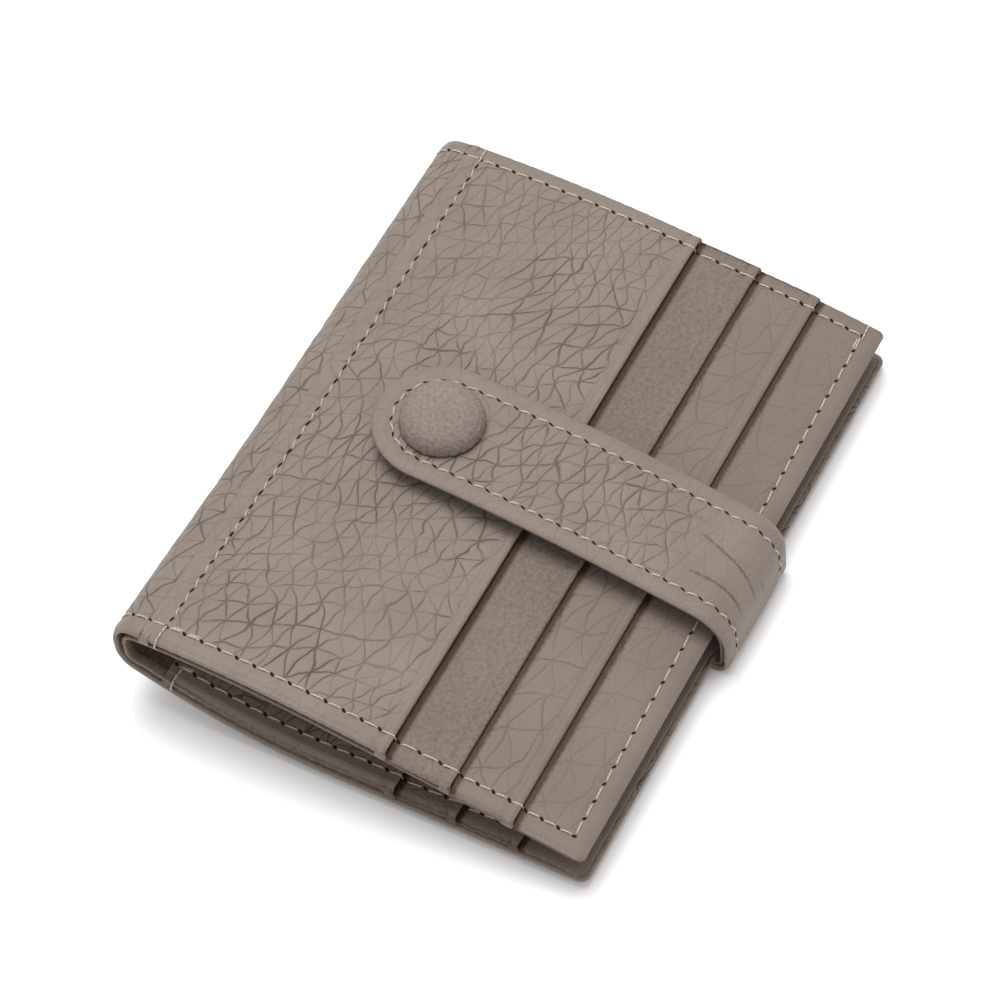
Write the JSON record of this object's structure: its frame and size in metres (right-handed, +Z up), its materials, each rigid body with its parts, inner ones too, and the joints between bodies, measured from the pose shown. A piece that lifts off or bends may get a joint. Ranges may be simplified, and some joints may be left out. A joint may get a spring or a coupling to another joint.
{
  "type": "mini wallet",
  "caption": "Small folded leather wallet with card slips stepped like shingles and a round-ended strap that closes over the fore edge with a leather-covered snap.",
  "frame": {"origin": "middle of the closed wallet's footprint, on the surface it lies on", "axes": "+X from the spine towards the strap's bend at the fore edge, +Y along the spine, +Z up from the surface it lies on"},
  "size_m": [0.0786, 0.1, 0.0249],
  "materials": {
    "pebbled_leather": "taupe full-grain leather with a soft pebbled grain, semi-matt",
    "slip_leather": "the same leather split thin, finer and smoother grain",
    "lining_leather": "thin smooth lining leather, matt",
    "sewing_thread": "light beige twisted thread, slight sheen",
    "pocket_cloth": "dark brown plain-weave pocket cloth, matt",
    "bonded_board": "bonded leather board, matt and hidden",
    "snap_metal": "nickel-plated pressed steel, smooth"
  },
  "bodies": {
    "back_half": {"outer_cover_back": "pebbled_leather", "back_board": "bonded_board", "back_lining_flap": "lining_leather", "back_panel": "pebbled_leather", "back_slip_a": "slip_leather", "back_slip_b": "slip_leather", "back_slip_c": "slip_leather", "back_thread": "sewing_thread", "strap_base": "pebbled_leather"},
    "spine": {"outer_cover_spine": "pebbled_leather", "spine_lining": "lining_leather", "spine_thread_near": "sewing_thread", "spine_thread_far": "sewing_thread"},
    "front_half": {"outer_cover_front": "pebbled_leather", "front_panel": "pebbled_leather", "front_slip_a": "slip_leather", "front_slip_b": "slip_leather", "front_slip_c": "slip_leather", "front_pocket_cloth": "pocket_cloth", "front_lining": "lining_leather", "front_thread": "sewing_thread", "spine_seam_thread": "sewing_thread", "snap_stud": "snap_metal", "stud_rivet": "snap_metal"},
    "strap_bend": {"strap_bend_leather": "pebbled_leather", "strap_bend_lining": "lining_leather", "strap_bend_thread_near": "sewing_thread", "strap_bend_thread_far": "sewing_thread"},
    "strap_tab": {"strap_tab_leather": "pebbled_leather", "strap_tab_lining": "lining_leather", "strap_tab_thread": "sewing_thread", "snap_cap_leather": "pebbled_leather", "snap_cap_core": "snap_metal", "snap_socket": "snap_metal"}
  },
  "joints": [
    {"name": "spine_fold", "type": "hinge", "parent": "back_half", "child": "spine", "pos_m": [-0.0388, 0, 0.0086], "axis": [0, -1, 0], "range_deg": [0, 94], "deforming": ["strap_bend_leather", "strap_bend_lining", "strap_bend_thread_near", "strap_bend_thread_far", "strap_tab_leather", "strap_tab_lining", "strap_tab_thread", "snap_cap_leather", "snap_cap_core", "snap_socket"]},
    {"name": "cover_fold", "type": "hinge", "parent": "spine", "child": "front_half", "pos_m": [-0.0388, 0, 0.0171], "axis": [0, -1, 0], "range_deg": [0, 94], "deforming": ["strap_bend_leather", "strap_bend_lining", "strap_bend_thread_near", "strap_bend_thread_far", "strap_tab_leather", "strap_tab_lining", "strap_tab_thread", "snap_cap_leather", "snap_cap_core", "snap_socket"]},
    {"name": "strap_bend_lower", "type": "hinge", "parent": "back_half", "child": "strap_bend", "pos_m": [0.0388, 0, 0], "axis": [0, 1, 0], "range_deg": [0, 82]},
    {"name": "strap_bend_upper", "type": "hinge", "parent": "strap_bend", "child": "strap_tab", "pos_m": [0.0388, 0, 0.01191], "axis": [0, 1, 0], "range_deg": [0, 82]}
  ],
  "couplings": [
    {"joint": "cover_fold", "follows": "spine_fold", "ratio": 1},
    {"joint": "strap_bend_upper", "follows": "strap_bend_lower", "ratio": 1}
  ]
}
